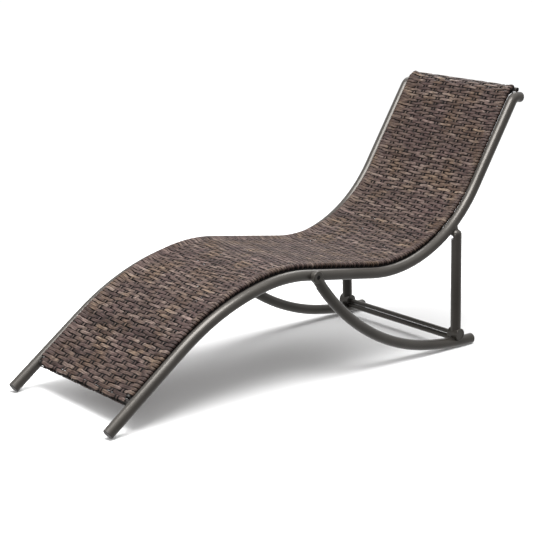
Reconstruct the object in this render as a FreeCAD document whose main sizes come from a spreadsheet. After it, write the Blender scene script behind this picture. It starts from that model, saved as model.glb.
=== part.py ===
import FreeCAD, Part
import math
import os
import Sketcher

V = FreeCAD.Vector

# Rocking chaise lounge: an S-shaped seat frame of bent round tube with a woven panel, standing on its
# foot ends and on two curved rocker tubes that a pair of rear legs clips onto.
# Millimetres. X runs from the foot end to the head end, Y across, Z up from the floor.

os.makedirs("parts", exist_ok=True)
doc = FreeCAD.newDocument("chaise")

SIZES = [
    ("tube_dia", 38.0), ("tube_wall", 1.6), ("rail_centre", 265.5), ("base_centre", 284.5),
    ("rail_start_x", -920.8), ("rail_start_z", 17.8), ("rail_tail", 341.5), ("foot_angle", 37.12),
    ("hump_rad", 859.7), ("crown_angle", 11.39), ("crown_rad", 548.0), ("knee_angle", -7.45),
    ("knee_run", 311.2), ("seat_rad", 524.5), ("back_angle", 58.75), ("back_run", 347.4),
    ("curl_rad", 31.4), ("curl_angle", -4.21), ("curl_run", 14.0),
    ("panel_half", 243.8), ("panel_thick", 7.0), ("panel_lift", 12.0), ("panel_rise", 1.0),
    ("panel_lean", 0.8), ("panel_foot", 104.0), ("panel_rod", 16.0),
    ("cross_dia", 25.0), ("cross_wall", 1.5), ("end_bar_dia", 16.0), ("wrap_rad", 12.0),
    ("rocker_pivot_x", -101.7), ("rocker_pivot_z", 384.3), ("rocker_boss_dia", 42.0),
    ("rocker_neck", 50.0), ("rocker_knuckle_len", 56.0),
    ("rocker_front_rad", 880.0), ("rocker_rear_rad", 1500.0), ("rocker_lean", -49.95),
    ("rocker_sweep", 40.55), ("rocker_tail_sweep", 9.63),
    ("bar_x", 629.7), ("rocker_bar_z", 33.3), ("rocker_bar_dia", 19.5),
    ("leg_bar_z", 53.2), ("leg_bar_dia", 16.0), ("foot_dia", 45.0), ("foot_half", 23.0),
    ("leg_pivot_x", 599.9), ("leg_pivot_z", 433.8), ("leg_neck", 18.0), ("leg_knuckle_len", 30.0),
    ("bolt_dia", 8.0), ("bolt_head_dia", 14.0), ("nut_flats", 13.0),
    ("spacer_dia", 26.0), ("lug_thick", 8.0), ("leg_rod_dia", 14.0),
]
sheet = doc.addObject("Spreadsheet::Sheet", "sizes")
for row, (alias, value) in enumerate(SIZES, start=1):
    sheet.set(f"A{row}", alias)
    sheet.set(f"B{row}", str(value))
    sheet.setAlias(f"B{row}", alias)
doc.recompute()


def size(alias):
    return float(sheet.get(alias))


def new_body(label):
    body = doc.addObject("PartDesign::Body", label)
    body.Label = label
    return body


def new_sketch(body, name, role, offset=None):
    sketch = body.newObject("Sketcher::SketchObject", name)
    plane = [f for f in body.Origin.OriginFeatures if f.Role == role][0]
    sketch.AttachmentSupport = (plane, [""])
    sketch.MapMode = "FlatFace"
    if offset is not None:
        sketch.AttachmentOffset = offset
    return sketch


def bind(sketch, kind, args, name, expression):
    """One dimension of a sketch, driven from the sheet."""
    index = sketch.addConstraint(Sketcher.Constraint(kind, *args))
    sketch.renameConstraint(index, name)
    sketch.setExpression(f"Constraints.{name}", expression)


def turn(point, angle, length, radius, side):
    """Walks along a line (radius 0) or a tangent arc; gives the geometry, the new point and angle."""
    x, z = point
    if radius == 0:
        end = (x + length * math.cos(angle), z + length * math.sin(angle))
        return Part.LineSegment(V(x, z, 0), V(end[0], end[1], 0)), end, angle
    sweep = side * length / radius
    centre = (x - side * radius * math.sin(angle), z + side * radius * math.cos(angle))
    last = angle + sweep
    end = (centre[0] + side * radius * math.sin(last), centre[1] - side * radius * math.cos(last))
    circle = Part.Circle(V(centre[0], centre[1], 0), V(0, 0, 1), radius)
    first_at = angle - side * math.pi / 2
    last_at = last - side * math.pi / 2
    if side > 0:
        return Part.ArcOfCircle(circle, first_at, last_at), end, last
    return Part.ArcOfCircle(circle, last_at, first_at), end, last


def rail_steps(lift=0.0, rise=0.0, lean=0.0, skip=0.0):
    """The side profile as steps of length, radius and side, with the angle that it starts at.
    Lift sets it off along its normal; rise and lean steepen its calf run and its back run."""
    a0 = math.radians(size("foot_angle") + rise)
    crown = math.radians(size("crown_angle"))
    a1 = math.radians(size("knee_angle"))
    a2 = math.radians(size("back_angle") + lean)
    a3 = math.radians(size("curl_angle"))
    hump_rad, crown_rad = size("hump_rad") + lift, size("crown_rad") + lift
    seat_rad, curl_rad = size("seat_rad") - lift, size("curl_rad") + lift
    steps = [
        (size("rail_tail") - skip, 0, 0),
        (hump_rad * (a0 - crown), hump_rad, -1),
        (crown_rad * (crown - a1), crown_rad, -1),
        (size("knee_run"), 0, 0),
        (seat_rad * (a2 - a1), seat_rad, 1),
        (size("back_run"), 0, 0),
        (curl_rad * (a2 - a3), curl_rad, -1),
        (size("curl_run"), 0, 0),
    ]
    a0 = math.radians(size("foot_angle"))
    start = (
        size("rail_start_x") + skip * math.cos(a0) - lift * math.sin(a0),
        size("rail_start_z") + skip * math.sin(a0) + lift * math.cos(a0),
    )
    return start, a0 + math.radians(rise), steps


def walk(start, angle, steps):
    geometry, point = [], start
    for length, radius, side in steps:
        curve, point, angle = turn(point, angle, length, radius, side)
        geometry.append(curve)
    return geometry, point, angle


def point_at(start, angle, steps, distance):
    """Position and direction of the profile after a distance along it."""
    point = start
    for length, radius, side in steps:
        if distance <= length:
            _, point, angle = turn(point, angle, max(distance, 1e-6), radius, side)
            return point, angle
        _, point, angle = turn(point, angle, length, radius, side)
        distance -= length
    return point, angle


def rail_sketch(body, y):
    """The rail's centre line: lines and tangent arcs, each radius, run and angle from the sheet."""
    # The sketch plane's own normal is -Y, so a rail at -Y sits at a positive offset.
    sketch = new_sketch(body, body.Label + "_path", "XZ_Plane", FreeCAD.Placement(V(0, 0, -y), FreeCAD.Rotation()))
    start, angle, steps = rail_steps()
    geometry, _, _ = walk(start, angle, steps)
    ids = [sketch.addGeometry(g, False) for g in geometry]
    ends = [(2, 1) if side < 0 else (1, 2) for _, _, side in steps]
    for k in range(len(ids) - 1):
        sketch.addConstraint(Sketcher.Constraint("Tangent", ids[k], ends[k][1], ids[k + 1], ends[k + 1][0]))
    bind(sketch, "DistanceX", (-1, 1, ids[0], 1, start[0]), "start_x", "sizes.rail_start_x")
    bind(sketch, "DistanceY", (-1, 1, ids[0], 1, start[1]), "start_z", "sizes.rail_start_z")
    for k, name, alias in ((0, "foot", "foot_angle"), (3, "knee", "knee_angle"),
                           (5, "back", "back_angle"), (7, "curl", "curl_angle")):
        bind(sketch, "Angle", (ids[k], math.radians(size(alias))), name + "_angle", f"sizes.{alias} * 1 deg")
    hump = math.radians(size("foot_angle") - size("crown_angle"))
    bind(sketch, "Angle", (ids[1], hump), "hump_span", "(sizes.foot_angle - sizes.crown_angle) * 1 deg")
    for k, name, alias in ((0, "tail", "rail_tail"), (3, "knee", "knee_run"),
                           (5, "back", "back_run"), (7, "curl", "curl_run")):
        bind(sketch, "Distance", (ids[k], size(alias)), name + "_run", f"sizes.{alias}")
    for k, name, alias in ((1, "hump", "hump_rad"), (2, "crown", "crown_rad"),
                           (4, "seat", "seat_rad"), (6, "curl", "curl_rad")):
        bind(sketch, "Radius", (ids[k], size(alias)), name + "_rad", f"sizes.{alias}")
    return sketch


def ring(sketch, outer, inner):
    """A tube's section about the sketch's own origin, from two sheet expressions for the diameters."""
    sketch.addGeometry(Part.Circle(V(0, 0, 0), V(0, 0, 1), outer[0] / 2), False)
    sketch.addConstraint(Sketcher.Constraint("Coincident", 0, 3, -1, 1))
    bind(sketch, "Diameter", (0, outer[0]), "outside", outer[1])
    if inner is not None:
        sketch.addGeometry(Part.Circle(V(0, 0, 0), V(0, 0, 1), inner[0] / 2), False)
        sketch.addConstraint(Sketcher.Constraint("Coincident", 1, 3, -1, 1))
        bind(sketch, "Diameter", (1, inner[0]), "inside", inner[1])


def section_sketch(body, point, y, angle, outer, inner):
    """A ring square to the path at a point: local axes Y, Z, X, turned about Y to the path's slope."""
    offset = FreeCAD.Placement(V(y, point[1], point[0]), FreeCAD.Rotation(V(1, 0, 0), -math.degrees(angle)))
    sketch = new_sketch(body, body.Label + "_section", "YZ_Plane", offset)
    ring(sketch, outer, inner)
    return sketch


def sweep(body, section, path):
    pipe = body.newObject("PartDesign::AdditivePipe", body.Label + "_sweep")
    pipe.Profile = section
    pipe.Spine = (path, [])
    body.Tip = pipe
    doc.recompute()
    return pipe


TUBE = ((size("tube_dia"), "sizes.tube_dia"),
        (size("tube_dia") - 2 * size("tube_wall"), "sizes.tube_dia - 2 * sizes.tube_wall"))


def cylinder(centre, direction, radius, length):
    """A solid cylinder from centre along direction, used to cope tube ends and to build small fittings."""
    return Part.makeCylinder(radius, length, V(*centre), V(*direction))


finished = []


def keep(obj, label):
    obj.Label = label
    finished.append((label, obj))


def plain(label, shape, placement=None):
    """A fitting built from Part solids."""
    feature = doc.addObject("Part::Feature", label)
    feature.Shape = shape
    feature.Placement = placement or FreeCAD.Placement(V(0, 0, 0), FreeCAD.Rotation())
    keep(feature, label)
    return feature


def cross_hole(body, name, x, z, diameter_alias, clearance):
    """A hole straight across a tube, for a pivot bolt."""
    sketch = new_sketch(body, name, "XZ_Plane", FreeCAD.Placement(V(x, z, 0), FreeCAD.Rotation()))
    sketch.addGeometry(Part.Circle(V(0, 0, 0), V(0, 0, 1), size(diameter_alias) / 2 + clearance), False)
    sketch.addConstraint(Sketcher.Constraint("Coincident", 0, 3, -1, 1))
    bind(sketch, "Diameter", (0, size(diameter_alias) + 2 * clearance), "bore",
         f"sizes.{diameter_alias} + {2 * clearance}")
    hole = body.newObject("PartDesign::Pocket", name + "_cut")
    hole.Profile = sketch
    hole.Type = "ThroughAll"
    hole.Midplane = True
    body.Tip = hole
    doc.recompute()
    return hole


SIDES = (("near", -1), ("far", 1))
R = size("tube_dia") / 2
start, angle0, steps = rail_steps()
pivot = (size("rocker_pivot_x"), size("rocker_pivot_z"))
leg_pivot = (size("leg_pivot_x"), size("leg_pivot_z"))
rocker_bar = (size("bar_x"), size("rocker_bar_z"))
leg_bar = (size("bar_x"), size("leg_bar_z"))

# Side rails: one bent tube each, foot end to head curl, drilled for the front pivot bolt.
for side, s in SIDES:
    y = s * size("rail_centre")
    body = new_body("side_rail_" + side)
    path = rail_sketch(body, y)
    section = section_sketch(body, start, y, angle0, *TUBE)
    sweep(body, section, path)
    cross_hole(body, f"pivot_hole_{side}", *pivot, "bolt_dia", 0.1)
    keep(body, "side_rail_" + side)


def end_plug(label, point, y, angle, cap=6.0, fillet=2.5, spigot=18.0):
    """A moulded plug for a tube end: a cap with a rounded rim and a spigot inside the tube.
    The half section is drawn in XZ and turned about its own axis, then laid on the tube's."""
    body = new_body(label)
    sketch = new_sketch(body, label + "_half", "XZ_Plane")
    rim, stem = R, R - size("tube_wall") - 0.05
    corners = [(0, -spigot), (stem, -spigot), (stem, 0), (rim, 0), (rim, cap - fillet)]
    lines = [Part.LineSegment(V(*a, 0), V(*b, 0)) for a, b in zip(corners, corners[1:])]
    circle = Part.Circle(V(rim - fillet, cap - fillet, 0), V(0, 0, 1), fillet)
    lines.append(Part.ArcOfCircle(circle, 0, math.pi / 2))
    lines.append(Part.LineSegment(V(rim - fillet, cap, 0), V(0, cap, 0)))
    lines.append(Part.LineSegment(V(0, cap, 0), V(0, -spigot, 0)))
    sketch.addGeometry(lines, False)
    for k in range(4):
        sketch.addConstraint(Sketcher.Constraint("Coincident", k, 2, k + 1, 1))
    revolve = body.newObject("PartDesign::Revolution", label + "_turned")
    revolve.Profile = sketch
    revolve.ReferenceAxis = (sketch, ["V_Axis"])
    revolve.Angle = 360
    body.Tip = revolve
    tilt = FreeCAD.Rotation(V(0, 1, 0), 90 - math.degrees(angle))
    body.Placement = FreeCAD.Placement(V(point[0], y, point[1]), tilt)
    doc.recompute()
    keep(body, label)


head_point, head_angle = point_at(start, angle0, steps, 1e6)
for side, s in SIDES:
    end_plug("foot_plug_" + side, start, s * size("rail_centre"), angle0 + math.pi)
    end_plug("head_plug_" + side, head_point, s * size("rail_centre"), head_angle)


def rail_solid(s, at, direction, half=60.0):
    """The rail's outside near a point, as a short straight cylinder for coping what meets it."""
    d = (math.cos(direction), 0, math.sin(direction))
    return cylinder((at[0] - half * d[0], s * size("rail_centre"), at[1] - half * d[2]), d, R, 2 * half)


def off_rail(distance, lift):
    """A point at a height over the rails' centre line."""
    at, direction = point_at(start, angle0, steps, distance)
    return at[0] - lift * math.sin(direction), at[1] + lift * math.cos(direction)


def cross_tube(label, distance, centre, outer, inner):
    """A cross tube between the rails, coped onto both where they pass it."""
    at, direction = point_at(start, angle0, steps, distance)
    body = new_body(label + "_blank")
    offset = FreeCAD.Placement(V(centre[0], centre[1], 0), FreeCAD.Rotation())
    sketch = new_sketch(body, label + "_ring", "XZ_Plane", offset)
    ring(sketch, outer, inner)
    pad = body.newObject("PartDesign::Pad", label + "_run")
    pad.Profile = sketch
    pad.Midplane = True
    pad.Length = 2 * (size("rail_centre") - 7)
    pad.setExpression("Length", "2 * (sizes.rail_centre - 7)")
    body.Tip = pad
    rails = []
    turned = FreeCAD.Rotation(V(0, 0, 1), V(math.cos(direction), 0, math.sin(direction)))
    for side, s in SIDES:
        tool = doc.addObject("Part::Cylinder", f"{label}_cope_{side}")
        tool.setExpression("Radius", "sizes.tube_dia / 2")
        tool.Height = 120
        tool.Placement = FreeCAD.Placement(V(at[0] - 60 * math.cos(direction), s * size("rail_centre"),
                                             at[1] - 60 * math.sin(direction)), turned)
        rails.append(tool)
    both = doc.addObject("Part::MultiFuse", label + "_copes")
    both.Shapes = rails
    cut = doc.addObject("Part::Cut", label)
    cut.Base = body
    cut.Tool = both
    doc.recompute()
    keep(cut, label)


CROSS = ((size("cross_dia"), "sizes.cross_dia"),
         (size("cross_dia") - 2 * size("cross_wall"), "sizes.cross_dia - 2 * sizes.cross_wall"))
END_BAR = ((size("end_bar_dia"), "sizes.end_bar_dia"),
           (size("end_bar_dia") - 2 * size("cross_wall"), "sizes.end_bar_dia - 2 * sizes.cross_wall"))
rail_length = sum(step[0] for step in steps)
curl_end = rail_length - size("curl_run")
end_lift = size("panel_lift") + size("panel_thick") / 2 - size("wrap_rad")
foot_bar_at = size("panel_foot") + size("wrap_rad")
foot_bar = off_rail(foot_bar_at, end_lift)
p_start, p_angle, p_steps = rail_steps(size("panel_lift"), size("panel_rise"), size("panel_lean"), foot_bar_at)
_, p_end, p_last = walk(p_start, p_angle, p_steps[:-1])
drop = size("wrap_rad") - size("panel_thick") / 2
head_bar = (p_end[0] + drop * math.sin(p_last), p_end[1] - drop * math.cos(p_last))
cross_tube("foot_cross_tube", foot_bar_at, foot_bar, *END_BAR)
for label, distance in (("knee_cross_tube", 690), ("seat_cross_tube", 1290), ("back_cross_tube", 1700)):
    cross_tube(label, distance, off_rail(distance, -10), *CROSS)
cross_tube("head_cross_tube", curl_end - 4, head_bar, *END_BAR)

# Panel: edge rods along both sides, and between them the woven sheet, drawn here as a plain strip
# that wraps round the foot and head bars.
lift, rise, lean = size("panel_lift"), size("panel_rise"), size("panel_lean")
half_thick = size("panel_thick") / 2


def strip(y_low, y_high):
    """The sheet's side outline in the XY plane, filled and drawn out by its width."""
    outlines, corners = [], []
    for offset in (-half_thick, half_thick):
        begin, angle, run = rail_steps(lift + offset, rise, lean, foot_bar_at)
        curves, last, _ = walk(begin, angle, run[:-1])
        outlines += [c.toShape() for c in curves]
        corners += [begin, last]
    low_foot, low_head, high_foot, high_head = [V(x, z, 0) for x, z in corners]
    outlines += [Part.makeLine(low_foot, high_foot), Part.makeLine(low_head, high_head)]
    solid = Part.Face(Part.Wire(Part.sortEdges(outlines)[0])).extrude(V(0, 0, y_high - y_low))
    for x, z in (foot_bar, head_bar):
        solid = solid.fuse(Part.makeCylinder(size("wrap_rad"), y_high - y_low, V(x, z, 0)))
    for x, z in (foot_bar, head_bar):
        solid = solid.cut(Part.makeCylinder(size("end_bar_dia") / 2 + 0.15, y_high - y_low, V(x, z, 0)))
    return solid.removeSplitter()


rod = size("panel_rod") / 2
panel_edge = size("panel_half") - 2 * rod - 0.5
upright = FreeCAD.Placement(V(0, panel_edge, 0), FreeCAD.Rotation(V(1, 0, 0), 90))
plain("woven_panel", strip(-panel_edge, panel_edge), upright)
r_start, r_angle, r_steps = rail_steps(lift, rise, lean, foot_bar_at + size("wrap_rad"))
for side, s in SIDES:
    body = new_body("panel_rod_" + side)
    y = s * (size("panel_half") - rod)
    sketch = new_sketch(body, f"rod_path_{side}", "XZ_Plane", FreeCAD.Placement(V(0, 0, -y), FreeCAD.Rotation()))
    curl_length, curl_rad, curl_side = r_steps[-2]
    r_curl = (curl_length - size("wrap_rad"), curl_rad, curl_side)
    curves, _, _ = walk(r_start, r_angle, r_steps[:-2] + [r_curl])
    for curve in curves:
        sketch.addConstraint(Sketcher.Constraint("Block", sketch.addGeometry(curve, False)))
    section = section_sketch(body, r_start, y, r_angle, (2 * rod, "sizes.panel_rod"), None)
    sweep(body, section, sketch)
    keep(body, "panel_rod_" + side)

# Rocker frame: two curved tubes that turn on the rails' outer faces, joined by one cross bar.
FLAT = size("base_centre") + 1.3
BOSS_FACE = size("base_centre") + 18.5
rocker_angle = math.radians(size("rocker_lean"))
rocker_start = (-66.1, 341.05)
neck_angle = math.atan2(rocker_start[1] - pivot[1], rocker_start[0] - pivot[0])
rocker_steps = [
    (math.radians(size("rocker_sweep")) * size("rocker_front_rad"), size("rocker_front_rad"), 1),
    (math.radians(size("rocker_tail_sweep")) * size("rocker_rear_rad"), size("rocker_rear_rad"), 1),
]
rocker_curves, rocker_end, rocker_end_angle = walk(rocker_start, rocker_angle, rocker_steps)


def flat_side(s):
    """Everything on the rail's side of a fitting's flat inner face."""
    box = Part.makeBox(600, 60, 600, V(pivot[0] - 300, 0, pivot[1] - 300))
    if s > 0:
        return box.translated(V(0, FLAT - 60, 0))
    return box.translated(V(0, -FLAT, 0))


def stem(at, s, angle, length):
    """The round stem that fills the start of a tube."""
    direction = (math.cos(angle), 0, math.sin(angle))
    return cylinder((at[0], s * size("base_centre"), at[1]), direction, R - size("tube_wall") - 0.4, length)


def rocker_knuckle(s):
    """A boss round the pivot bolt and a tapered neck, both flat towards the rail, then a round collar
    and a stem in the tube. The boss is bored for the bolt and sunk for its head."""
    y = s * size("base_centre")
    along = V(math.cos(neck_angle), 0, math.sin(neck_angle))
    at = V(pivot[0], y, pivot[1])
    neck = Part.makeCone(R + 0.8, R, size("rocker_neck"), at, along)
    solid = neck.cut(flat_side(s))
    boss = cylinder((pivot[0], s * FLAT, pivot[1]), (0, s, 0), size("rocker_boss_dia") / 2, BOSS_FACE - FLAT)
    rim = [e for e in boss.Edges if abs(e.BoundBox.Center.y - s * BOSS_FACE) < 0.01]
    solid = solid.fuse(boss.makeFillet(3.0, rim))
    tip = rocker_curves[0].StartPoint
    back = V(-math.cos(rocker_angle), 0, -math.sin(rocker_angle))
    solid = solid.fuse(cylinder((tip.x, y, tip.y), tuple(back), R, 7))
    solid = solid.fuse(stem((tip.x, tip.y), s, rocker_angle, 14))
    solid = solid.cut(cylinder((at.x, y - 60, at.z), (0, 1, 0), size("bolt_dia") / 2 + 0.05, 120))
    well = cylinder((at.x, s * (BOSS_FACE - 5), at.z), (0, s, 0), size("bolt_head_dia") / 2 + 1.0, 12)
    return solid.cut(well).removeSplitter()


for side, s in SIDES:
    y = s * size("base_centre")
    body = new_body("rocker_tube_" + side)
    path = new_sketch(body, f"rocker_path_{side}", "XZ_Plane", FreeCAD.Placement(V(0, 0, -y), FreeCAD.Rotation()))
    for curve in rocker_curves:
        path.addGeometry(curve, False)
    path.addConstraint(Sketcher.Constraint("Tangent", 0, 2, 1, 1))
    path.addConstraint(Sketcher.Constraint("DistanceX", -1, 1, 0, 1, rocker_start[0]))
    path.addConstraint(Sketcher.Constraint("DistanceY", -1, 1, 0, 1, rocker_start[1]))
    bind(path, "Radius", (0, size("rocker_front_rad")), "front_rad", "sizes.rocker_front_rad")
    bind(path, "Radius", (1, size("rocker_rear_rad")), "rear_rad", "sizes.rocker_rear_rad")
    for k, name in ((0, "rocker_sweep"), (1, "rocker_tail_sweep")):
        bind(path, "Angle", (k, math.radians(size(name))), name, f"sizes.{name} * 1 deg")
    joint = rocker_curves[0].EndPoint
    path.addConstraint(Sketcher.Constraint("DistanceX", -1, 1, 0, 2, joint.x))
    section = section_sketch(body, rocker_start, y, rocker_angle, *TUBE)
    sweep(body, section, path)
    keep(body, "rocker_tube_" + side)
    plain("rocker_knuckle_" + side, rocker_knuckle(s))
    end_plug("rocker_plug_" + side, rocker_end, y, rocker_end_angle, cap=5.0)


def rocker_solid(s, gap):
    """The outside of a rocker tube near the leg's foot, with a gap round it."""
    begin = walk(rocker_start, rocker_angle, rocker_steps[:1])[1:]
    (x, z), slope = min((point_at(*begin, rocker_steps[1:], d) for d in range(0, 252, 2)),
                        key=lambda p: abs(p[0][0] - size("bar_x")))
    way = (math.cos(slope), 0, math.sin(slope))
    low = (x - 60 * way[0], s * size("base_centre"), z - 60 * way[2])
    return cylinder(low, way, R + gap, 120)


def cross_bar(label, at, alias, half):
    """A solid round bar across the chaise."""
    body = new_body(label)
    sketch = new_sketch(body, label + "_disc", "XZ_Plane", FreeCAD.Placement(V(*at, 0), FreeCAD.Rotation()))
    ring(sketch, (size(alias), f"sizes.{alias}"), None)
    pad = body.newObject("PartDesign::Pad", label + "_run")
    pad.Profile = sketch
    pad.Midplane = True
    pad.Length = 2 * half
    body.Tip = pad
    doc.recompute()
    return body


bar_blank = cross_bar("rocker_bar_blank", rocker_bar, "rocker_bar_dia", size("base_centre") - 12.5)
coped = doc.addObject("Part::Cut", "rocker_cross_bar")
coped.Base = bar_blank
coped.Tool = doc.addObject("Part::MultiFuse", "rocker_bar_copes")
tubes = []
for side, s in SIDES:
    tool = doc.addObject("Part::Feature", "rocker_outside_" + side)
    tool.Shape = rocker_solid(s, 0.0)
    tubes.append(tool)
coped.Tool.Shapes = tubes
doc.recompute()
keep(coped, "rocker_cross_bar")

# Leg frame: two straight tubes that turn on a cross rod in lugs under the rails. A round foot on each
# leg sits astride the rocker tube, and a bar joins the feet.
leg_vector = V(leg_bar[0] - leg_pivot[0], 0, leg_bar[1] - leg_pivot[1])
leg_reach = leg_vector.Length
leg_dir = V(leg_vector).normalize()
leg_heading = math.atan2(leg_dir.z, leg_dir.x)
foot_rad = size("foot_dia") / 2


def leg_tube(label, s):
    """A straight tube, square where it meets the knuckle and coped where it meets the foot."""
    body = new_body(label)
    y = s * size("base_centre")
    skip = size("leg_knuckle_len")
    begin = (leg_pivot[0] + leg_dir.x * skip, leg_pivot[1] + leg_dir.z * skip)
    section = section_sketch(body, begin, y, leg_heading, *TUBE)
    pad = body.newObject("PartDesign::Pad", label + "_run")
    pad.Profile = section
    pad.Length = leg_reach - skip
    body.Tip = pad
    doc.recompute()
    cope = new_sketch(body, label + "_cope", "XZ_Plane", FreeCAD.Placement(V(*leg_bar, 0), FreeCAD.Rotation()))
    ring(cope, (size("foot_dia"), "sizes.foot_dia"), None)
    cut = body.newObject("PartDesign::Pocket", label + "_cope_cut")
    cut.Profile = cope
    cut.Type = "ThroughAll"
    cut.Midplane = True
    body.Tip = cut
    doc.recompute()
    keep(body, label)


def leg_knuckle(s):
    """The leg's domed top: flat towards the rail round the cross rod, full round below that, with a
    blind bore for the rod and a stem in the tube."""
    y = s * size("base_centre")
    neck, length = size("leg_neck"), size("leg_knuckle_len")
    at = V(leg_pivot[0], y, leg_pivot[1])
    solid = cylinder(tuple(at), tuple(leg_dir), R, length).fuse(Part.makeSphere(R, at))
    box = Part.makeBox(200, 60, 200, V(leg_pivot[0] - 100, 0, leg_pivot[1] - 100))
    solid = solid.cut(box.translated(V(0, FLAT - 60 if s > 0 else -FLAT, 0)))
    collar = at + leg_dir * neck
    solid = solid.fuse(cylinder(tuple(collar), tuple(leg_dir), R, length - neck))
    end = at + leg_dir * length
    solid = solid.fuse(stem((end.x, end.z), s, leg_heading, 14))
    bore = size("leg_rod_dia") / 2 + 0.05
    blind = abs(size("base_centre") + 11 - FLAT) + 5
    solid = solid.cut(cylinder((at.x, s * (FLAT - 5), at.z), (0, s, 0), bore, blind))
    return solid.removeSplitter()


def leg_foot(s):
    """A round foot across the leg's end, coped to sit astride the rocker tube: a shallow recess in
    its outer face, a blind bore for the bar in its inner face, a stem up inside the leg. A slot that
    is open to the front and below lets it come away from the rockers' cross bar."""
    y, half = s * size("base_centre"), size("foot_half")
    low, high = y - half, y + half
    drum = cylinder((leg_bar[0], low, leg_bar[1]), (0, 1, 0), foot_rad, 2 * half)
    rims = [e for e in drum.Edges if min(abs(e.BoundBox.Center.y - low), abs(e.BoundBox.Center.y - high)) < 0.01]
    drum = drum.makeFillet(2.0, rims)
    up = V(leg_bar[0], y, leg_bar[1]) - leg_dir * (foot_rad - 3)
    drum = drum.fuse(stem((up.x, up.z), s, leg_heading + math.pi, 21))
    outer = y + s * half
    drum = drum.cut(cylinder((leg_bar[0], outer - s * 1.6, leg_bar[1]), (0, s, 0), foot_rad - 4.0, 5))
    inner = y - s * half
    bore = size("leg_bar_dia") / 2 + 0.05
    drum = drum.cut(cylinder((leg_bar[0], inner - s * 5, leg_bar[1]), (0, s, 0), bore, 13))
    clear = size("rocker_bar_dia") / 2 + 0.4
    slot = cylinder((rocker_bar[0], s * 255, rocker_bar[1]), (0, s, 0), clear, 18)
    below = Part.makeBox(2 * clear, 18, 20, V(rocker_bar[0] - clear, 0, rocker_bar[1] - 20))
    front = Part.makeBox(40, 18, 20 + clear, V(rocker_bar[0] - 40, 0, rocker_bar[1] - 20))
    slot = slot.fuse([box.translated(V(0, 255 if s > 0 else -273, 0)) for box in (below, front)])
    solid = drum.cut(rocker_solid(s, 0.35)).cut(slot).removeSplitter()
    return sorted(solid.Solids, key=lambda one: one.Volume)[-1]


def beside_rail(point):
    """The place on the rail's centre line nearest to a point, and its slope there."""
    places = (point_at(start, angle0, steps, d) for d in range(700, 1800, 2))
    return min(places, key=lambda p: math.hypot(p[0][0] - point[0], p[0][1] - point[1]))


def lug(s):
    """The ear under the rail that the legs' cross rod turns in: a rounded plate coped onto the rail."""
    y0 = s * (size("base_centre") + 0.8)
    thick = -s * size("lug_thick")
    (rx, rz), slope = beside_rail(leg_pivot)
    along = V(math.cos(slope), 0, math.sin(slope))
    centre = V(leg_pivot[0], y0, leg_pivot[1])
    top = V(rx, y0, rz)
    across = V(leg_pivot[0] - rx, 0, leg_pivot[1] - rz).normalize()
    r = 14.0
    points = [top + along * 24, centre + along * r, centre - along * r, top - along * 24]
    edges = [
        Part.makeLine(points[0], points[1]),
        Part.Arc(points[1], centre + across * r, points[2]).toShape(),
        Part.makeLine(points[2], points[3]),
        Part.makeLine(points[3], points[0]),
    ]
    plate = Part.Face(Part.Wire(edges)).extrude(V(0, thick, 0))
    plate = plate.cut(rail_solid(s, (rx, rz), slope, 80))
    bore = size("leg_rod_dia") / 2 + 0.05
    plate = plate.cut(cylinder((leg_pivot[0], -400, leg_pivot[1]), (0, 1, 0), bore, 800))
    return sorted(plate.Solids, key=lambda solid: solid.Volume)[-1]


def spacer(s):
    """The saddle-backed spacer between a rail and a rocker knuckle."""
    outer = s * (FLAT - 0.3)
    rail_at, slope = beside_rail(pivot)
    body = cylinder((pivot[0], outer, pivot[1]), (0, -s, 0), size("spacer_dia") / 2, 12)
    body = body.cut(rail_solid(s, rail_at, slope))
    body = body.cut(cylinder((pivot[0], outer + 5 * s, pivot[1]), (0, -s, 0), size("bolt_dia") / 2 + 0.1, 40))
    return sorted(body.Solids, key=lambda solid: solid.Volume)[-1]


def bolt(s, inner):
    """A socket-head bolt: the head in the boss's well, the shank inward to the nut."""
    seat = s * (BOSS_FACE - 4.7)
    head = cylinder((pivot[0], seat, pivot[1]), (0, s, 0), size("bolt_head_dia") / 2, 3.6)
    rim = [e for e in head.Edges if abs(e.BoundBox.Center.y - (seat + 3.6 * s)) < 0.01]
    head = head.makeChamfer(1.0, rim)
    head = head.cut(cylinder((pivot[0], seat + 1.2 * s, pivot[1]), (0, s, 0), 2.9, 4))
    shank = cylinder((pivot[0], seat, pivot[1]), (0, -s, 0), size("bolt_dia") / 2, abs(seat) - inner)
    return head.fuse(shank).removeSplitter()


def nut(s, outer, height):
    """A hexagon lock nut on the inner end of a bolt."""
    r = size("nut_flats") / 2 / math.cos(math.pi / 6)
    corners = [V(pivot[0] + r * math.cos(k * math.pi / 3), s * outer, pivot[1] + r * math.sin(k * math.pi / 3))
               for k in range(7)]
    body = Part.Face(Part.makePolygon(corners)).extrude(V(0, -s * height, 0))
    return body.cut(cylinder((pivot[0], s * (outer + 2), pivot[1]), (0, -s, 0), size("bolt_dia") / 2, height + 4))


rail_inner = size("rail_centre") - R
for side, s in SIDES:
    leg_tube("leg_tube_" + side, s)
    plain("leg_knuckle_" + side, leg_knuckle(s))
    plain("leg_foot_" + side, leg_foot(s))
    plain("leg_lug_" + side, lug(s))
    plain("rocker_spacer_" + side, spacer(s))
    plain("rocker_bolt_" + side, bolt(s, rail_inner - 9))
    plain("rocker_nut_" + side, nut(s, rail_inner, 7.5))
keep(cross_bar("leg_cross_rod", leg_pivot, "leg_rod_dia", size("base_centre") + 10.5), "leg_cross_rod")
keep(cross_bar("leg_cross_bar", leg_bar, "leg_bar_dia", size("base_centre") - size("foot_half") + 7.5), "leg_cross_bar")

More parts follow.
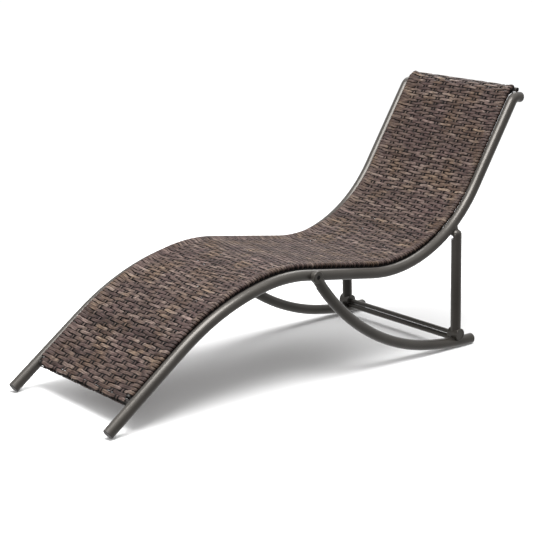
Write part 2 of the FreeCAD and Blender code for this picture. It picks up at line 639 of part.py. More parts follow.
doc.recompute()
for obj in doc.Objects:
    state = " ".join(obj.State)
    if "Invalid" in state or "Error" in state:
        raise SystemExit(f"{obj.Name}: {state}")
for label, obj in finished:
    shape = obj.Shape
    if shape.isNull() or not shape.isValid() or len(shape.Solids) != 1:
        raise SystemExit(f"{label}: solids {len(shape.Solids)} valid {shape.isValid()}")
    shape.exportStep(f"parts/{label}.step")
    box = shape.optimalBoundingBox(True, False)
    print(f"{label:22s} vol {shape.Volume / 1000:8.1f} cm3  x {box.XMin:7.1f} {box.XMax:7.1f}"
          f"  y {box.YMin:7.1f} {box.YMax:7.1f}  z {box.ZMin:6.1f} {box.ZMax:6.1f}")
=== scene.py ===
# %% [markdown]
# # Rocking chaise lounge
# An S-shaped seat frame of bent round tube carries a panel woven from flat resin strand. It stands on
# its foot ends and on two curved rocker tubes, and the feet of two rear legs sit over the rocker tubes.
#
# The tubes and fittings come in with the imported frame, at their real size and place, and keep their
# shape. What is made here is what the solids leave out: the woven strands, the finishes, the light and
# the camera. Lengths are in metres. X runs from the foot end to the head end, and Z up from the floor.

import math

import bpy
import numpy as np
from mathutils import Matrix, Vector


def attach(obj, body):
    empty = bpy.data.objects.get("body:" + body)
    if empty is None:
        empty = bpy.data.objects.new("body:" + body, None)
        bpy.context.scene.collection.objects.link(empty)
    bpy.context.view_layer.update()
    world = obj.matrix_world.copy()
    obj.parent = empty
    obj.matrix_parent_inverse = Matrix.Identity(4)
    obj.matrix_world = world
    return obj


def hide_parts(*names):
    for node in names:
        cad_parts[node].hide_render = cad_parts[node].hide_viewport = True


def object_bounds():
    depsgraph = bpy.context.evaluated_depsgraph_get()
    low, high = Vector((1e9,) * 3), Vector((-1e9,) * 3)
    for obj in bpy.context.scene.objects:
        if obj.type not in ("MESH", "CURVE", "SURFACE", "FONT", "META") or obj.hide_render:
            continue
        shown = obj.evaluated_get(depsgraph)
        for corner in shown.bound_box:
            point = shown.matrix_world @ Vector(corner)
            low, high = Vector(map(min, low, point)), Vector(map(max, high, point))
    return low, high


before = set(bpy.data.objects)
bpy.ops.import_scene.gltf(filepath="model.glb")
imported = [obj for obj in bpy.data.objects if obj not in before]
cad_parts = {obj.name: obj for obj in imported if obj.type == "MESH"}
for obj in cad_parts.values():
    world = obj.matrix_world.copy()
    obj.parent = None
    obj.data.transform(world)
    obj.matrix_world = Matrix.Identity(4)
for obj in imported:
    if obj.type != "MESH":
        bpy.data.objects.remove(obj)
cad_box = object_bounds()
corners = [[round(v, 3) for v in corner] for corner in cad_box]
print(len(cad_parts), "nodes, box", *corners)

# %% [markdown]
# ## The side line
# Each rail is bent from one length of tube: straight up the calf rest, over the knee, through the seat
# and up the back, with a small curl at the head. The weave follows the same line a little above it.
#
# The line could be a Bezier curve drawn by eye. Here it is a chain of straight runs and tangent arcs,
# because that is how a tube bender makes the rail, and because the place and the slope at any distance
# along it are then exact.

# %% Walking along runs and arcs
def along_of(slope):
    return np.array([math.cos(slope), math.sin(slope)])


def normal_of(slope):
    return np.array([-math.sin(slope), math.cos(slope)])


def arc(radius, first, last):
    """Length and bend of an arc between two slopes; a bend to the right is negative."""
    return radius * abs(last - first), math.copysign(1 / radius, last - first)


def follow(start, slope, runs, s):
    """Point and slope at a distance s along a chain of runs."""
    point = start
    for length, bend in runs:
        part = min(s, length)
        if bend:
            turned = slope + part * bend
            centre = point + normal_of(slope) / bend
            point = centre - normal_of(turned) / bend
            slope = turned
        else:
            point = point + along_of(slope) * part
        s -= part
        if s <= 1e-9:
            break
    return point, slope


# %% The line of the rails
RAIL_FOOT = np.array([-0.9208, 0.0178])
RAIL_CALF_SLOPE = math.radians(37.12)
RAIL_BACK_SLOPE = math.radians(58.75)
CROWN_SLOPE = math.radians(11.39)
KNEE_SLOPE = math.radians(-7.45)
HEAD_SLOPE = math.radians(-4.21)
CALF_RUN, KNEE_RUN, BACK_RUN, CURL_RUN = 0.3415, 0.3112, 0.3474, 0.014
HUMP_RADIUS, CROWN_RADIUS, SEAT_RADIUS, CURL_RADIUS = 0.8597, 0.548, 0.5245, 0.0314


def side_runs(calf_slope, back_slope, lift=0.0, skipped=0.0):
    """The runs from the calf rest to the head's curl, for a line that lies a lift above the rails'."""
    return [
        (CALF_RUN - skipped, 0.0),
        arc(HUMP_RADIUS + lift, calf_slope, CROWN_SLOPE),
        arc(CROWN_RADIUS + lift, CROWN_SLOPE, KNEE_SLOPE),
        (KNEE_RUN, 0.0),
        arc(SEAT_RADIUS - lift, KNEE_SLOPE, back_slope),
        (BACK_RUN, 0.0),
        arc(CURL_RADIUS + lift, back_slope, HEAD_SLOPE),
    ]


rail_runs = side_runs(RAIL_CALF_SLOPE, RAIL_BACK_SLOPE) + [(CURL_RUN, 0.0)]
rail_length = sum(length for length, _ in rail_runs)
rail_step = 0.002
rail_line = np.array([
    follow(RAIL_FOOT, RAIL_CALF_SLOPE, rail_runs, s)[0]
    for s in np.arange(0, rail_length + rail_step, rail_step)
])
print("rail", round(rail_length, 3), "m along its centre")

# %% [markdown]
# ## The line of the weave
# The panel starts a little up the rails and stands 12 mm above their centres there. It is slightly
# steeper than the rails on the calf rest and on the back. At both ends it turns round a bar. One
# function gives its point and slope at any distance, also round the bars, so that every strand below can
# be laid by distance alone.

# %% The weave's line and its turns round the bars
LIFT = 0.012
FOOT_AT = 0.116
CALF_SLOPE = math.radians(38.12)
BACK_SLOPE = math.radians(59.55)
BAR_DROP = 0.0085
WRAP_RADIUS = 0.0105
WRAP_LENGTH = WRAP_RADIUS * math.radians(205)
BAR_APPROACH = 0.03

RUNS = side_runs(CALF_SLOPE, BACK_SLOPE, LIFT, FOOT_AT)
RUN_LENGTH = sum(length for length, _ in RUNS)
START = RAIL_FOOT + along_of(RAIL_CALF_SLOPE) * FOOT_AT + normal_of(RAIL_CALF_SLOPE) * LIFT


def on_run(s):
    """Point and slope of the line at a distance s from the foot bar, between the two bars."""
    return follow(START, CALF_SLOPE, RUNS, s)


def on_line(s):
    """The same with the turns round the bars: below 0 at the foot, past the run's length at the head."""
    if s < 0 or s > RUN_LENGTH:
        end, way = (0.0, -1) if s < 0 else (RUN_LENGTH, 1)
        point, slope = on_run(end)
        bar = point - normal_of(slope) * BAR_DROP
        slope = slope - way * abs(s - end) / WRAP_RADIUS
        return bar + normal_of(slope) * WRAP_RADIUS, slope
    point, slope = on_run(s)
    nearness = max(0.0, 1 - min(s, RUN_LENGTH - s) / BAR_APPROACH)
    return point + normal_of(slope) * (WRAP_RADIUS - BAR_DROP) * nearness**2, slope


print("weave", round(RUN_LENGTH, 3), "m between the bars,", round(WRAP_LENGTH, 3), "m round each bar")

# %% [markdown]
# ## How a strand is drawn
# Resin wicker is a flat extruded strand with a rounded top and sharp edges. A curve with a bevel could
# draw one, but each strand here changes its width as it dips, twists to face outward and carries its own
# tone. So a strand is built ring by ring from a list of places: the centre, the direction of its width
# and the direction that its rounded side faces. Many strands share one mesh, which keeps the scene light.
#
# Two values are kept on each point for the finish: the strand's tone, and how far it is out in the light,
# from which the finish paints shade.

# %% Section of a strand, and the builder
SECTION = np.array([
    (-1.0, -0.55),
    (-0.86, 0.30),
    (-0.45, 0.88),
    (0.0, 1.0),
    (0.45, 0.88),
    (0.86, 0.30),
    (1.0, -0.55),
    (0.0, -0.95),
])
# Painted shade across the section: the edges keep 0.35 of a strand's lit share and the underside none, so
# the finish paints them dark.
SECTION_LIT = np.array([0.35, 1, 1, 1, 1, 1, 0.35, 0])


class Bands:
    """Collects bands into one mesh, with where each point lies along and across its band."""

    def __init__(self):
        self.points, self.faces, self.along, self.across = [], [], [], []
        self.tone, self.depth, self.caps, self.count = [], [], [], 0

    def add(self, centres, widths, ups, half_width, half_thick, tone, depth):
        centres, widths, ups = (np.asarray(a, float) for a in (centres, widths, ups))
        n, k = len(centres), len(SECTION)
        half_width = np.broadcast_to(half_width, (n,))
        u = SECTION[None, :, 0, None] * half_width[:, None, None]
        v = SECTION[None, :, 1, None] * half_thick
        rings = centres[:, None, :] + widths[:, None, :] * u + ups[:, None, :] * v
        steps = np.linalg.norm(np.diff(centres, axis=0), axis=1)
        travelled = np.concatenate([[0.0], np.cumsum(steps)])
        self.points.append(rings.reshape(-1, 3))
        self.along.append(np.repeat(travelled, k))
        self.across.append(np.tile(SECTION[:, 0] * 0.5 + 0.5, n))
        self.tone.append(np.full(n * k, tone))
        self.depth.append((np.broadcast_to(depth, (n,))[:, None] * SECTION_LIT).ravel())
        self.add_faces(n, k)

    def add_faces(self, n, k):
        i, j = np.meshgrid(np.arange(n - 1), np.arange(k), indexing="ij")
        a = self.count + i * k + j
        b = self.count + i * k + (j + 1) % k
        self.faces.append(np.stack([a, a + k, b + k, b], axis=-1).reshape(-1, 4))
        last = self.count + (n - 1) * k
        self.caps.append([self.count + m for m in range(k)])
        self.caps.append([last + m for m in reversed(range(k))])
        self.count += n * k

    def mesh(self, name, material):
        faces = np.concatenate(self.faces)
        mesh = bpy.data.meshes.new(name)
        mesh.from_pydata(np.concatenate(self.points).tolist(), [], faces.tolist() + self.caps)
        chart = mesh.uv_layers.new(name="strand")
        corner = np.zeros(len(mesh.loops), np.int32)
        mesh.loops.foreach_get("vertex_index", corner)
        along, across = np.concatenate(self.along), np.concatenate(self.across)
        chart.data.foreach_set("uv", np.stack([along[corner], across[corner]], -1).ravel())
        for key, values in (("tone", self.tone), ("depth", self.depth)):
            layer = mesh.attributes.new(key, "FLOAT", "POINT")
            layer.data.foreach_set("value", np.concatenate(values).astype(np.float32))
        mesh.polygons.foreach_set("use_smooth", [True] * len(mesh.polygons))
        mesh.materials.append(material)
        piece = bpy.data.objects.new(name, mesh)
        bpy.context.scene.collection.objects.link(piece)
        print(name, len(mesh.polygons) * 2, "triangles")
        return piece


# %% [markdown]
# ## Finishes of the tubes and fittings
# The tubes have a satin bronze-brown powder coat: a fine pebbled film with tiny metal flakes. The plugs
# and spacers are moulded plastic, and the bolts and nuts are blackened steel. The side rods and the two
# bars inside the weave get a darker, duller coat as painted shade, standing for the shade of the strands
# round them. All four are one kind of surface in different amounts, so one function makes them from noise
# at three scales: a cloud for the slow drift in tone, a film for the pebbles and the gloss, and flecks for
# the flakes. Object coordinates keep the grain at its real size on every piece.

# %% Node helpers
def new_material(name):
    material = bpy.data.materials.new(name)
    material.use_nodes = True
    tree = material.node_tree
    return material, tree, tree.nodes["Principled BSDF"]


def add_node(tree, kind, links=(), **values):
    node = tree.nodes.new(kind)
    for key, value in values.items():
        if hasattr(node, key):
            setattr(node, key, value)
        else:
            node.inputs[key.replace("_", " ")].default_value = value
    for socket, source in links:
        tree.links.new(source, node.inputs[socket])
    return node


def colour_steps(tree, factor, stops):
    """A colour ramp through the stops, each a position and a colour."""
    node = add_node(tree, "ShaderNodeValToRGB", [("Fac", factor)])
    ramp = node.color_ramp.elements
    for element, (position, colour) in zip((ramp[0], ramp[1]), (stops[0], stops[-1])):
        element.position, element.color = position, (*colour, 1)
    for position, colour in stops[1:-1]:
        ramp.new(position).color = (*colour, 1)
    return node.outputs["Color"]


def mixed(tree, a, b, blend):
    """Two colours blended in full; a mix node keeps its colour sockets behind those for numbers."""
    node = add_node(tree, "ShaderNodeMix", [(6, a), (7, b)], data_type="RGBA", blend_type=blend)
    node.inputs[0].default_value = 1.0
    return node.outputs[2]


def noise(tree, vector, scale, detail):
    node = add_node(tree, "ShaderNodeTexNoise", [("Vector", vector)], Scale=scale, Detail=detail)
    return node.outputs["Fac"]


# %% Powder coat, plastic and fastener finishes
def coat_finish(name, stops, metal, rough, pebble, speck):
    """A sprayed or moulded finish: cloudy tone, a pebbled film and fine specks."""
    material, tree, shader = new_material(name)
    position = add_node(tree, "ShaderNodeTexCoord").outputs["Object"]
    cloud = noise(tree, position, 9.0, 5.0)
    fleck = noise(tree, position, 2400.0, 2.0)
    film = noise(tree, position, 620.0, 3.0)
    tone = colour_steps(tree, cloud, stops)
    bright = colour_steps(tree, fleck, [(0.55, (0, 0, 0)), (0.72, (speck,) * 3)])
    tree.links.new(mixed(tree, tone, bright, "ADD"), shader.inputs["Base Color"])
    wear = add_node(tree, "ShaderNodeMapRange", [("Value", film)])
    wear.inputs["To Min"].default_value = rough - 0.05
    wear.inputs["To Max"].default_value = rough + 0.07
    tree.links.new(wear.outputs["Result"], shader.inputs["Roughness"])
    shader.inputs["Metallic"].default_value = metal
    bump = add_node(tree, "ShaderNodeBump", [("Height", film)], Strength=pebble, Distance=0.0004)
    tree.links.new(bump.outputs["Normal"], shader.inputs["Normal"])
    return material


FRAME_COAT = coat_finish(
    "bronze_powder_coat",
    [(0.3, (0.05, 0.045, 0.039)), (0.7, (0.064, 0.058, 0.051))],
    metal=0.5, rough=0.3, pebble=0.15, speck=0.03,
)
# Painted shade: the rods and bars inside the weave get this darker coat to stand for the shade of the
# strands round them.
ROD_SHADE_COAT = coat_finish(
    "rod_coat_painted_shade",
    [(0.3, (0.02, 0.017, 0.015)), (0.7, (0.03, 0.026, 0.023))],
    metal=0.2, rough=0.5, pebble=0.25, speck=0.01,
)
PLUG_PLASTIC = coat_finish(
    "plug_plastic",
    [(0.3, (0.03, 0.027, 0.024)), (0.7, (0.043, 0.038, 0.034))],
    metal=0.0, rough=0.48, pebble=0.45, speck=0.01,
)
BLACK_STEEL = coat_finish(
    "black_oxide_steel",
    [(0.3, (0.012, 0.011, 0.011)), (0.7, (0.022, 0.02, 0.019))],
    metal=0.6, rough=0.45, pebble=0.2, speck=0.02,
)

# %% Each node gets its finish
ROD_NODES = ("panel_rod_near", "panel_rod_far", "foot_cross_tube", "head_cross_tube")


def finish_of(name):
    if "bolt" in name or "nut" in name:
        return BLACK_STEEL
    if "plug" in name or "spacer" in name:
        return PLUG_PLASTIC
    return ROD_SHADE_COAT if name in ROD_NODES else FRAME_COAT


for name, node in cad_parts.items():
    node.data.materials.clear()
    node.data.materials.append(finish_of(name))
print(sum(finish_of(name) is FRAME_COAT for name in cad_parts), "nodes in the powder coat")

# %% [markdown]
# ## Finish of the strands
# The strand is matte resin, mottled in brown and grey along its length. One strand differs a little from
# the next, and a slow cast runs over the whole panel. One flat brown would look like plastic sheet, so
# the colour is built in layers that are multiplied together: a body colour from the strand's tone and a
# drift along it, the cast, a mottled grain, painted shade at the edges with a faint darker line down the
# middle, and painted shade where the strand dips under another. The lights darken the dips too, but not
# enough between strands a millimetre apart, so that shade is painted into the colour.

# %% Body colour of a strand
def noise_along(tree, chart, spread, scale, detail):
    """Noise along a strand, moved to a new part of the pattern for each strand."""
    drawn = add_node(tree, "ShaderNodeMapping", [("Vector", chart), ("Location", spread)])
    drawn.inputs["Scale"].default_value = scale
    return noise(tree, drawn.outputs["Vector"], 1.0, detail)


def strand_body(tree, chart, tone, spread):
    drift = noise_along(tree, chart, spread, (26.0, 0.5, 1.0), 2.0)
    swing = add_node(tree, "ShaderNodeMapRange", [("Value", drift)])
    swing.inputs["To Min"].default_value = -0.7
    swing.inputs["To Max"].default_value = 0.7
    level = add_node(tree, "ShaderNodeMath", [(0, swing.outputs["Result"]), (1, tone)], operation="ADD")
    body = colour_steps(tree, level.outputs["Value"], [
        (0.0, (0.034, 0.021, 0.018)),
        (0.35, (0.071, 0.048, 0.042)),
        (0.6, (0.104, 0.074, 0.062)),
        (1.0, (0.200, 0.154, 0.130)),
    ])
    position = add_node(tree, "ShaderNodeTexCoord").outputs["Object"]
    cast = colour_steps(tree, noise(tree, position, 11.0, 3.0), [
        (0.35, (0.95, 0.90, 0.95)),
        (0.5, (1.0, 1.0, 1.0)),
        (0.65, (1.08, 1.02, 0.86)),
    ])
    return mixed(tree, body, cast, "MULTIPLY")


# %% Painted shade at edges and dips, and the finished strand
def strand_finish(name):
    material, tree, shader = new_material(name)
    chart = add_node(tree, "ShaderNodeUVMap", uv_map="strand").outputs["UV"]
    tone = add_node(tree, "ShaderNodeAttribute", attribute_name="tone").outputs["Fac"]
    depth = add_node(tree, "ShaderNodeAttribute", attribute_name="depth").outputs["Fac"]
    offset = add_node(tree, "ShaderNodeCombineXYZ", [("Y", tone), ("Z", tone)]).outputs["Vector"]
    spread = add_node(tree, "ShaderNodeVectorMath", [(0, offset)], operation="SCALE")
    spread.inputs["Scale"].default_value = 37.0
    spread = spread.outputs["Vector"]
    grain = noise_along(tree, chart, spread, (55.0, 4.0, 1.0), 6.0)
    streak = colour_steps(tree, grain, [(0.34, (0.42, 0.39, 0.38)), (0.62, (1.12, 1.12, 1.12))])
    across = add_node(tree, "ShaderNodeSeparateXYZ", [("Vector", chart)]).outputs["Y"]
    rim = add_node(tree, "ShaderNodeMath", [(0, across)], operation="PINGPONG")
    rim.inputs[1].default_value = 0.5
    # Painted shade: the strand is darkened towards its edges, where shade falls between rows, and a little
    # darker down the middle.
    edge_shade = colour_steps(tree, rim.outputs["Value"], [
        (0.03, (0.03, 0.027, 0.024)),
        (0.2, (1.0, 1.0, 1.0)),
        (0.36, (1.0, 1.0, 1.0)),
        (0.48, (0.62, 0.6, 0.6)),
    ])
    # Painted shade: a low lit share darkens the strand to near black where it dips under another and on
    # its underside.
    dip_shade = colour_steps(tree, depth, [(0.3, (0.02, 0.017, 0.015)), (0.6, (0.75,) * 3), (1.0, (1.0,) * 3)])
    colour = strand_body(tree, chart, tone, spread)
    for layer in (streak, edge_shade, dip_shade):
        colour = mixed(tree, colour, layer, "MULTIPLY")
    tree.links.new(colour, shader.inputs["Base Color"])
    shader.inputs["Roughness"].default_value = 0.55
    shader.inputs["Specular IOR Level"].default_value = 0.15
    grooves = add_node(tree, "ShaderNodeBump", [("Height", grain)], Strength=0.5, Distance=0.0006)
    tree.links.new(grooves.outputs["Normal"], shader.inputs["Normal"])
    return material


STRAND = strand_finish("resin_strand")
print("strand finish of", len(STRAND.node_tree.nodes), "nodes")

# %% [markdown]
# ## The weave
# Flat strands run across in rows and dip under ten lengthwise strands, one row under where the next goes
# over. The rows lie closer at the knee than at the foot. Repeating one modelled patch would show as
# tiles, so each row is drawn on its own, with the slow wander that a weaver's hand leaves.

# %% Row spacing
PITCH_AT = (0.0, 0.12, 0.35, 0.55, 1.0, 1.2, 1.5)
PITCHES = (0.0142, 0.0142, 0.0124, 0.0108, 0.0112, 0.0122, 0.0109)
LENGTHWISE = 10
ROD_Y = 0.2358


def pitch_at(s):
    return float(np.interp(s, PITCH_AT, PITCHES))


first_s, last_s = -WRAP_LENGTH, RUN_LENGTH + WRAP_LENGTH
row_s = [first_s + 0.006]
while row_s[-1] < last_s - 0.012:
    row_s.append(row_s[-1] + pitch_at(row_s[-1]))
row_s = np.array(row_s)
chain_y = -ROD_Y + 2 * ROD_Y * np.arange(1, LENGTHWISE + 1) / (LENGTHWISE + 1)
print(len(row_s), "rows")
print(LENGTHWISE, "lengthwise strands,", round(chain_y[1] - chain_y[0], 4), "m apart")

# %% Places on the panel
draw = np.random.RandomState(7)


def sway(length, reach, knots):
    """A slow wander of the given reach, as hand weaving has."""
    values = draw.uniform(-reach, reach, knots)
    return np.interp(np.linspace(0, knots - 1, length), np.arange(knots), values)


def panel_point(s, y, height):
    point, slope = on_line(s)
    x, z = point + normal_of(slope) * height
    return np.array([x, y, z])


def directions(s):
    """The directions along the panel and out of its upper face, at a distance s."""
    _, slope = on_line(s)
    t, n = along_of(slope), normal_of(slope)
    return np.array([t[0], 0, t[1]]), np.array([n[0], 0, n[1]])


# %% [markdown]
# ## Where a row turns round the side rod
# On the real panel one long strand turns round the rod and comes back as the next row. Only the outside of
# that turn is ever seen, so each row ends in a lap that follows the rod's outside and slips half a row
# along. Each lap is painted darker as it turns under the rod, and every second lap sits deeper in, is
# narrower and has more painted shade, which gives the edge its beads.

# %% The lap of a row
LAP = 0.001 * np.array([
    (0, 9.4),
    (5, 9.3),
    (10, 7.6),
    (12.9, 4),
    (12.7, 0),
    (10.6, -4),
    (7, -7.6),
    (2, -9.4),
])
ROW_HALF = 0.53
INNER_REACH, INNER_HALF = 0.96, 0.85


def row_lap(s0, pitch, index, side, across, up):
    """Places from beside the top of a side rod, round its outside and under it."""
    outer = (index % 2 == 0) == (side < 0)
    turn = np.diff(LAP, axis=0, append=2 * LAP[-1:] - LAP[-2:-1])
    places = []
    for step in range(1, len(LAP)):
        share = step / len(LAP)
        away = np.array([turn[step, 1] * -side, turn[step, 0]]) / np.hypot(*turn[step])
        out = np.array([0, away[0], 0]) + up * away[1]
        base = panel_point(s0 - side * pitch * 0.5 * share, side * ROD_Y, 0.0)
        reach = LAP[step] * (1.0 if outer else INNER_REACH)
        centre = base + np.array([0, side * reach[0], 0]) + up * reach[1]
        half = pitch * ROW_HALF * (1.0 if outer else INNER_HALF)
        # Painted shade: the lap's lit share falls as it turns under the rod, faster on the inner laps.
        lit = max(0.4, 1 - 0.6 * share) if outer else max(0.3, 1 - 1.2 * share)
        places.append((centre, across, out, half, lit))
    return places


# %% [markdown]
# ## A row across the panel
# Between two lengthwise strands a row lies high, and at every second one it dips below it and draws
# narrower. A cosine with its top cut off gives that shape: long level floats with short dips. A second
# layer of rows on the under face, half a row along and hardly narrowed, closes the panel as the back of a
# real weave does.

# %% One row
LOW, HIGH, UNEVEN = -0.0010, 0.0019, 0.0004
ROW_THICK = 0.0013
ROW_WANDER, WIDTH_SWAY = 0.0021, 0.14
NARROWEST = {1: 0.55, -1: 0.95}
BAR_ZONE = 0.012


def row_band(bands, s0, pitch, index, face, samples_each):
    """A crosswise strand on the upper face (1) or the under face (-1) of the panel."""
    round_bar = s0 < BAR_ZONE or s0 > RUN_LENGTH - BAR_ZONE
    samples = (LENGTHWISE + 1) * samples_each + 1
    gap = np.arange(samples) / samples_each
    raised = np.clip(2.6 * (0.5 + 0.5 * np.cos(math.pi * (gap + index))), 0, 1)
    at_rod = np.maximum(0, 1 - np.minimum(gap, LENGTHWISE + 1 - gap) / 0.5) * (not round_bar)
    raised = np.maximum(raised, at_rod)
    height = LOW + (HIGH - LOW) * raised**0.7 + draw.uniform(-UNEVEN, UNEVEN)
    height = height * (1 - at_rod) + LAP[0, 1] * at_rod**0.8
    wander = sway(samples, ROW_WANDER, 20)
    narrowing = NARROWEST[face] + (1 - NARROWEST[face]) * raised**0.5
    half = pitch * ROW_HALF * (1 + sway(samples, WIDTH_SWAY, 30)) * narrowing
    across, up = directions(s0)
    up = up * face
    y = np.linspace(-ROD_Y, ROD_Y, samples)
    # Painted shade: a row's lit share follows how high it is raised, so it is painted dark where it dips.
    places = [
        (panel_point(s0 + w, yy, face * h), across, up, wide, lit)
        for w, yy, h, wide, lit in zip(wander, y, height, half, raised**0.8)
    ]
    if face > 0 and not round_bar:
        left, right = (row_lap(s0, pitch, index, side, across, up) for side in (-1, 1))
        places = left[::-1] + places + right
    centres, widths, ups, halves, depths = zip(*places)
    tone = float(np.clip(draw.normal(0.5, 0.15), 0, 1))
    bands.add(centres, widths, ups, halves, ROW_THICK, tone, depths)


# %% Rows of the calf rest, knee, seat, back and head
TOP_SAMPLES, UNDER_SAMPLES = 10, 8
UNDER_FROM_BAR = 0.01
knee_end = sum(length for length, _ in RUNS[:3])
seat_end = knee_end + RUNS[3][0] + RUNS[4][0] * 0.55
back_end = seat_end + 0.36
borders = (first_s, knee_end * 0.62, knee_end + 0.12, seat_end, back_end, last_s)
weave = []
for part, low, high in zip(("calf", "knee", "seat", "back", "head"), borders, borders[1:]):
    bands = Bands()
    for index, s0 in enumerate(row_s):
        if low <= s0 < high:
            pitch = pitch_at(s0)
            row_band(bands, s0, pitch, index, 1, TOP_SAMPLES)
            under_s = s0 + pitch / 2
            if UNDER_FROM_BAR < under_s < RUN_LENGTH - UNDER_FROM_BAR:
                row_band(bands, under_s, pitch, index, -1, UNDER_SAMPLES)
    weave.append(bands.mesh("weave_rows_" + part, STRAND))

# %% [markdown]
# ## The lengthwise strands
# Ten strands run the whole length and round both bars. Each goes over one row and under the next, the
# opposite way from its neighbours, so its wave has four places to a row and starts half a wave on.

# %% Lengthwise strands
CHAIN_HALF, CHAIN_THICK = 0.0046, 0.0010
CHAIN_MIDDLE, CHAIN_WAVE = 0.0006, 0.0013
bands = Bands()
stations = np.interp(np.arange(0, len(row_s) - 0.9, 0.25), np.arange(len(row_s)), row_s)
for number, y0 in enumerate(chain_y):
    wave = np.cos(math.pi * (np.arange(len(stations)) / 4 + number))
    y = y0 + sway(len(stations), 0.0012, 40)
    heights = CHAIN_MIDDLE + CHAIN_WAVE * wave
    centres = [panel_point(s, yy, height) for s, yy, height in zip(stations, y, heights)]
    ups = [directions(s)[1] for s in stations]
    tone = float(np.clip(draw.normal(0.4, 0.15), 0, 1))
    # Painted shade: the lit share follows the wave, so the strand is painted darker where it dips under a
    # row.
    bands.add(centres, [(0, 1, 0)] * len(centres), ups, CHAIN_HALF, CHAIN_THICK, tone, 0.5 + 0.35 * wave)
weave.append(bands.mesh("weave_lengthwise", STRAND))

# %% [markdown]
# ## Painted shade strips beside the rods
# A thin dark strip on each side spans the gap between the side rod and the rail. It is painted shade: a
# dark sheet standing for the deep shade in that narrow crevice. It leans from the rod to the top of the
# rail wherever the rail is, because the panel stands at a slightly different height above the rail from
# end to end.

# %% Painted shade strips
STRIP_STEP = 0.006
INNER_Y, INNER_HEIGHT = ROD_Y + 0.0082, -0.001
OUTER_Y, OUTER_ABOVE_RAIL = 0.2486, 0.0104
bands = Bands()
for side in (-1, 1):
    places = []
    for s in np.arange(0.004, RUN_LENGTH - 0.015, STRIP_STEP):
        point, slope = on_run(s)
        nearest = rail_line[np.argmin(((rail_line - point) ** 2).sum(1))]
        drop = float(np.dot(point - nearest, normal_of(slope)))
        inner = panel_point(s, side * INNER_Y, INNER_HEIGHT)
        outer = panel_point(s, side * OUTER_Y, OUTER_ABOVE_RAIL - drop)
        span = np.linalg.norm(outer - inner)
        width = (outer - inner) / span
        along, up = directions(s)
        out = np.cross(width, along)
        places.append(((inner + outer) / 2, width, out if np.dot(out, up) > 0 else -out, span / 2))
    centres, widths, ups, halves = zip(*places)
    # Painted shade: a dark tone and a low lit share make the strips near black.
    bands.add(centres, widths, ups, halves, 0.0004, 0.1, 0.3)
weave.append(bands.mesh("weave_shade_strips", STRAND))

# %% The weave rides on the seat frame and stands in for the plain panel
for piece in weave:
    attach(piece, "seat_frame")
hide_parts("woven_panel")
print(len(weave), "pieces in the weave")

# %% [markdown]
# ## Floor
# A pale, dull floor catches the lounge's soft shadow. It is hidden from glossy and bounced light, so the
# tubes' undersides stay as dark as they are against a wide studio ground.

# %% Pale floor
bpy.ops.mesh.primitive_plane_add(size=120, location=(0, 0, 0))
floor = bpy.context.object
floor.name = "floor"
pale, tree, shader = new_material("pale_floor")
grit = add_node(tree, "ShaderNodeTexNoise", Scale=30.0, Detail=4.0).outputs["Fac"]
screed = colour_steps(tree, grit, [(0.3, (0.93, 0.93, 0.93)), (0.7, (0.96, 0.96, 0.96))])
tree.links.new(screed, shader.inputs["Base Color"])
shader.inputs["Roughness"].default_value = 0.9
floor.data.materials.append(pale)
floor.visible_glossy = False
floor.visible_diffuse = False
print("floor", round(floor.dimensions.x), "m across")

# %% [markdown]
# ## Lights
# A wide soft light overhead does most of the work: it draws the long highlight on the rails. Two weaker
# ones help it, one low at the foot end that reaches the legs, and one behind the head end that catches the
# tops of the level parts of the rails. Area lights give soft edges where a sun would draw hard ones.


# %% Three soft lights
def soft_light(name, at, towards, power, size):
    light = bpy.data.lights.new(name, "AREA")
    light.shape = "RECTANGLE"
    light.size, light.size_y = size
    light.energy = power
    lamp = bpy.data.objects.new(name, light)
    lamp.location = at
    lamp.rotation_euler = (Vector(towards) - Vector(at)).to_track_quat("-Z", "Y").to_euler()
    bpy.context.scene.collection.objects.link(lamp)
    print(name, power, "W")


soft_light("overhead", (-0.9, -0.3, 2.6), (-0.1, 0, 0.3), 115, (2.0, 1.5))
soft_light("from_left", (-3.2, -1.0, 0.4), (0.5, -0.3, 0.2), 26, (0.9, 0.7))
soft_light("behind", (1.9, 1.2, 2.3), (0.1, 0, 0.4), 22, (1.2, 1.2))

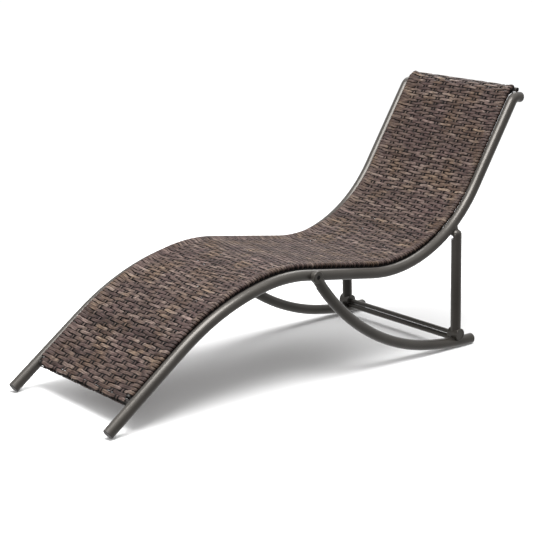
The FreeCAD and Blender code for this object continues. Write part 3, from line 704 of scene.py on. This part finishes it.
# %% [markdown]
# ## Surroundings
# The tubes are half metal, so they mirror whatever stands round them. The surroundings are bright
# overhead, pale behind the lounge and dim on the camera's side, which leaves a dark lower half on every
# tube. A picture of a room would do the same job, but would put its own shapes in the reflections.

# %% A room of plain tones
world = bpy.data.worlds.new("studio")
world.use_nodes = True
tree = world.node_tree
heading = add_node(tree, "ShaderNodeTexCoord").outputs["Generated"]
height = add_node(tree, "ShaderNodeSeparateXYZ", [("Vector", heading)]).outputs["Z"]
ceiling = colour_steps(tree, height, [(0.3, (0, 0, 0)), (0.6, (0.6,) * 3), (0.85, (1.0,) * 3)])
facing = add_node(tree, "ShaderNodeVectorMath", [(0, heading)], operation="DOT_PRODUCT")
facing.inputs[1].default_value = (0.67, 0.74, 0.0)
toward = add_node(tree, "ShaderNodeMapRange", [("Value", facing.outputs["Value"])])
toward.inputs["From Min"].default_value = -1.0
greys = [(0.1, (0.16,) * 3), (0.4, (0.36,) * 3), (0.65, (0.55,) * 3)]
walls = colour_steps(tree, toward.outputs["Result"], greys)
background = tree.nodes["Background"]
tree.links.new(mixed(tree, ceiling, walls, "LIGHTEN"), background.inputs["Color"])
background.inputs["Strength"].default_value = 1.5
bpy.context.scene.world = world
print("surroundings at strength", background.inputs["Strength"].default_value)

# %% [markdown]
# ## Camera
# The camera stands off the foot end at the near side, a little above the seat, with a long lens. Its
# place was worked out from the outlines of the tubes, so its three axes are given as they were found
# rather than aimed at a point. The plain view transform keeps the white ground white.

# %% Camera and view
camera_data = bpy.data.cameras.new("camera")
camera_data.sensor_width = 36.0
camera_data.lens = 96.865
camera_data.clip_end = 200
camera = bpy.data.objects.new("camera", camera_data)
right = Vector((0.748893, -0.662136, 0.027121))
upward = Vector((0.146276, 0.205081, 0.967753))
back = Vector((-0.646346, -0.720776, 0.250438))
turned = Matrix((right, upward, back)).transposed()
camera.matrix_world = Matrix.Translation((-3.28508, -3.59299, 1.60101)) @ turned.to_4x4()
bpy.context.scene.collection.objects.link(camera)
bpy.context.scene.camera = camera
bpy.context.scene.view_settings.view_transform = "Standard"
print("camera", round((camera.location - Vector((0, 0, 0.45))).length, 2), "m from the lounge")
